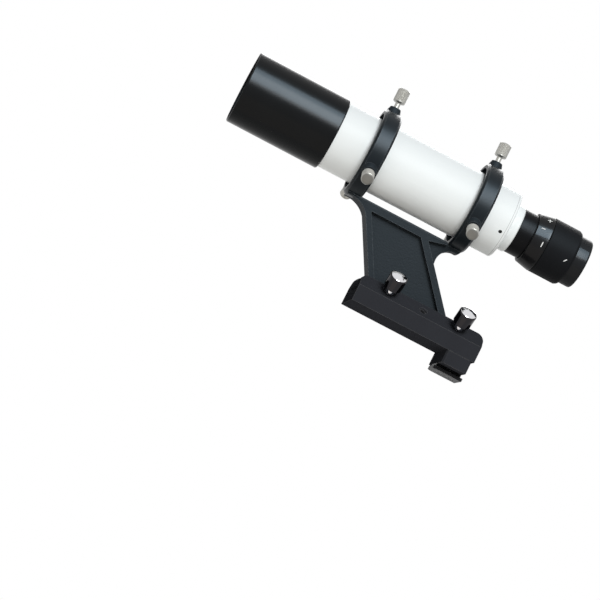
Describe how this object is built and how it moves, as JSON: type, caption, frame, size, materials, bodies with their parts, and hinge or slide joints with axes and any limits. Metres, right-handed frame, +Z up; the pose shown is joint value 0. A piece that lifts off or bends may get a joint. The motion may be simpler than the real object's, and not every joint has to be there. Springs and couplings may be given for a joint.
{
  "type": "guide scope",
  "caption": "Small refracting guide scope in a two-ring aiming bracket, on a dovetail clamp with an accessory-shoe foot; helical-focus eyepiece and sliding dew shield.",
  "frame": {"origin": "middle of the underside of the accessory-shoe foot", "axes": "+X along the optical axis from the objective to the eye, +Z up, clamp screws on the -Y side"},
  "size_m": [0.2207, 0.0762, 0.1368],
  "materials": {
    "shoe_metal": "black anodised, satin",
    "clamp_anodised": "dark purple-grey anodised, satin",
    "dark_screw": "blackened steel",
    "polished_screw": "mirror polished",
    "bracket_paint": "cast, blue-black crinkle paint",
    "nickel_screw": "satin nickel plated brass",
    "nylon_tip": "natural nylon",
    "dew_black": "gloss black paint",
    "tube_white": "gloss white paint",
    "inner_black": "matt black anodised",
    "spacer_metal": "bare metal",
    "lens_glass": "polished, coated",
    "focuser_black": "satin black anodised",
    "grip_rubber": "matt ribbed rubber"
  },
  "bodies": {
    "base": {"clamp_base": "clamp_anodised", "shoe_riser": "clamp_anodised", "shoe_foot": "shoe_metal", "foot_screws": "dark_screw"},
    "clamp_screw_front_body": {"clamp_screw_front": "polished_screw"},
    "clamp_screw_rear_body": {"clamp_screw_rear": "polished_screw"},
    "bracket": {"ring_bracket": "bracket_paint"},
    "front_top_body": {"front_top_screw": "nickel_screw", "front_top_tip": "nylon_tip"},
    "front_near_body": {"front_near_screw": "nickel_screw", "front_near_tip": "nylon_tip"},
    "front_far_body": {"front_far_screw": "nickel_screw", "front_far_tip": "nylon_tip"},
    "rear_top_body": {"rear_top_screw": "nickel_screw", "rear_top_tip": "nylon_tip"},
    "rear_near_body": {"rear_near_screw": "nickel_screw", "rear_near_tip": "nylon_tip"},
    "rear_far_body": {"rear_far_screw": "nickel_screw", "rear_far_tip": "nylon_tip"},
    "scope": {"main_tube": "tube_white", "objective_cell": "inner_black", "crown_lens": "lens_glass", "lens_spacer": "spacer_metal", "flint_lens": "lens_glass", "lens_retaining_ring": "inner_black", "front_glare_stop": "inner_black", "rear_glare_stop": "inner_black", "rear_cell": "tube_white", "cell_grub_screws": "dark_screw", "focuser_neck": "focuser_black"},
    "dew_shield_body": {"dew_shield": "dew_black"},
    "eyepiece_core": {"lens_barrel": "inner_black", "crosshair_ring": "inner_black", "field_lens": "lens_glass", "eyepiece_spacer": "inner_black", "eye_lens": "lens_glass", "eye_retaining_ring": "inner_black"},
    "focus_ring": {"focus_sleeve": "focuser_black", "rubber_grip": "grip_rubber", "eyecup": "grip_rubber"}
  },
  "joints": [
    {"name": "bracket_slide", "type": "slide", "parent": "base", "child": "bracket", "axis": [1, 0, 0], "range_m": [-0.045, 0.011]},
    {"name": "clamp_screw_front_travel", "type": "slide", "parent": "base", "child": "clamp_screw_front_body", "axis": [0, -0.7071, 0.7071], "range_m": [0, 0.005]},
    {"name": "clamp_screw_rear_travel", "type": "slide", "parent": "base", "child": "clamp_screw_rear_body", "axis": [0, -0.7071, 0.7071], "range_m": [0, 0.005]},
    {"name": "front_top_travel", "type": "slide", "parent": "bracket", "child": "front_top_body", "axis": [0, 0, 1], "range_m": [0, 0.005]},
    {"name": "front_near_travel", "type": "slide", "parent": "bracket", "child": "front_near_body", "axis": [0, -0.866, -0.5], "range_m": [0, 0.005]},
    {"name": "front_far_travel", "type": "slide", "parent": "bracket", "child": "front_far_body", "axis": [0, 0.866, -0.5], "range_m": [0, 0.005]},
    {"name": "aim_pitch", "type": "hinge", "parent": "bracket", "child": "scope", "pos_m": [-0.0939, 0, 0.0943], "axis": [0, 1, 0], "range_deg": [-2, 2]},
    {"name": "rear_top_travel", "type": "slide", "parent": "bracket", "child": "rear_top_body", "axis": [0, 0, 1], "range_m": [-0.0024, 0.0024]},
    {"name": "rear_near_travel", "type": "slide", "parent": "bracket", "child": "rear_near_body", "axis": [0, -0.866, -0.5], "range_m": [-0.0012, 0.0012]},
    {"name": "rear_far_travel", "type": "slide", "parent": "bracket", "child": "rear_far_body", "axis": [0, 0.866, -0.5], "range_m": [-0.0012, 0.0012]},
    {"name": "dew_shield_slide", "type": "slide", "parent": "scope", "child": "dew_shield_body", "axis": [1, 0, 0], "range_m": [0, 0.018]},
    {"name": "focus_travel", "type": "slide", "parent": "scope", "child": "eyepiece_core", "axis": [1, 0, 0], "range_m": [-0.003, 0.003]},
    {"name": "focus_turn", "type": "hinge", "parent": "eyepiece_core", "child": "focus_ring", "pos_m": [0.02, 0, 0.0943], "axis": [1, 0, 0], "range_deg": [-121, 121]}
  ],
  "couplings": [
    {"joint": "rear_top_travel", "follows": "aim_pitch", "m_per_rad": -0.0668},
    {"joint": "rear_near_travel", "follows": "aim_pitch", "m_per_rad": 0.0334},
    {"joint": "rear_far_travel", "follows": "aim_pitch", "m_per_rad": 0.0334},
    {"joint": "focus_turn", "follows": "focus_travel", "rad_per_m": 698.13}
  ]
}
